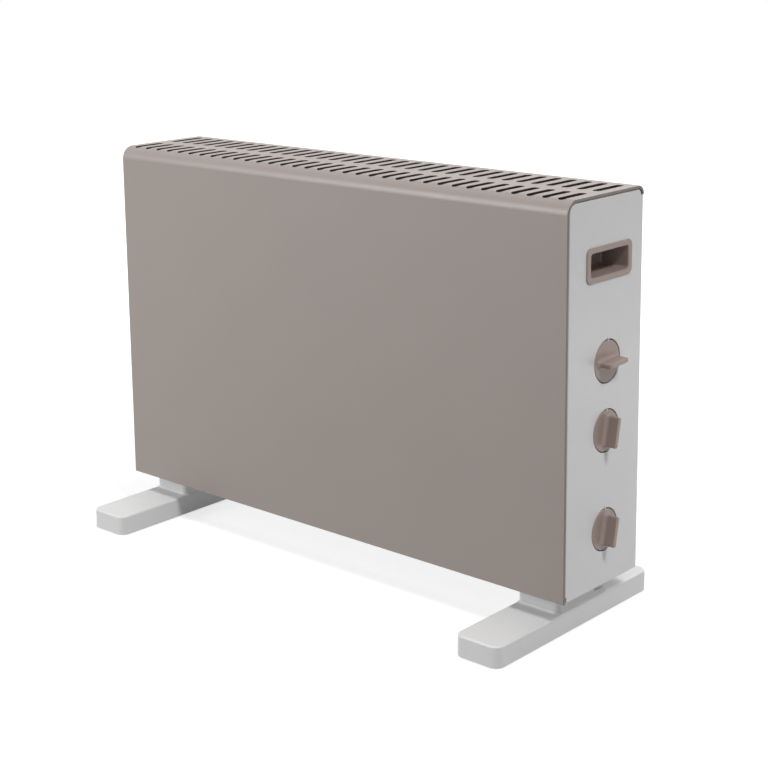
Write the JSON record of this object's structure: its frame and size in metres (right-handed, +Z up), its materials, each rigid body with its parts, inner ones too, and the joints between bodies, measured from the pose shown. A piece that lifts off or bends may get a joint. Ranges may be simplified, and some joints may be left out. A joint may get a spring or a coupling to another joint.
{
  "type": "electric convector heater",
  "caption": "Free-standing electric convector heater: taupe steel case with a slotted air outlet on top, pale end panels, finger recesses, rotary controls and moulded feet.",
  "frame": {"origin": "on the floor, at the bottom centre of the whole heater's bounding box, with its feet and knobs", "axes": "+Z up, +X along the case's width towards the end with the controls, -Y towards the plain front of the case"},
  "size_m": [0.614, 0.246, 0.417],
  "materials": {
    "cover_paint": "warm taupe satin powder coat",
    "panel_plastic": "light silver-grey satin moulded plastic",
    "taupe_plastic": "satin moulded taupe plastic",
    "foot_plastic": "off-white moulded plastic",
    "zinc_steel": "zinc-coated sheet steel",
    "shield_aluminium": "bright rolled sheet",
    "element_aluminium": "plain extruded section",
    "plated_steel": "zinc plated",
    "black_plastic": "black moulded plastic",
    "white_ceramic": "off-white glazed ceramic",
    "black_rubber": "black soft rubber"
  },
  "bodies": {
    "casing": {"front_cover": "cover_paint", "rear_panel": "cover_paint", "right_end_panel": "panel_plastic", "left_end_panel": "panel_plastic", "right_grip_cup": "taupe_plastic", "left_grip_cup": "taupe_plastic", "left_foot": "foot_plastic", "right_foot": "foot_plastic", "base_plate": "zinc_steel", "control_bracket": "zinc_steel", "left_element_bracket": "zinc_steel", "right_element_bracket": "zinc_steel", "front_heat_shield": "shield_aluminium", "lower_element": "element_aluminium", "upper_element": "element_aluminium", "control_nuts": "plated_steel", "foot_screws": "plated_steel", "foot_nuts": "plated_steel", "end_panel_screws": "plated_steel", "rear_panel_screws": "plated_steel", "bracket_screws": "plated_steel", "control_screws": "plated_steel", "upper_switch": "black_plastic", "middle_switch": "black_plastic", "thermostat": "black_plastic", "thermal_cutout": "black_plastic", "cord_gland": "black_plastic", "gland_nut": "black_plastic", "element_bushes": "white_ceramic", "terminal_block": "white_ceramic", "foot_pads": "black_rubber"},
    "upper_control": {"upper_knob": "taupe_plastic", "upper_spindle": "plated_steel"},
    "middle_control": {"middle_knob": "taupe_plastic", "middle_spindle": "plated_steel"},
    "thermostat_control": {"thermostat_knob": "taupe_plastic", "thermostat_spindle": "plated_steel"}
  },
  "joints": [
    {"name": "upper_turn", "type": "hinge", "parent": "casing", "child": "upper_control", "pos_m": [0.294, 0.02, 0.2595], "axis": [1, 0, 0], "range_deg": [0, 90]},
    {"name": "middle_turn", "type": "hinge", "parent": "casing", "child": "middle_control", "pos_m": [0.294, 0.02, 0.193], "axis": [1, 0, 0], "range_deg": [-90, 0]},
    {"name": "thermostat_turn", "type": "hinge", "parent": "casing", "child": "thermostat_control", "pos_m": [0.294, 0.02, 0.0965], "axis": [1, 0, 0], "range_deg": [-270, 0]}
  ]
}
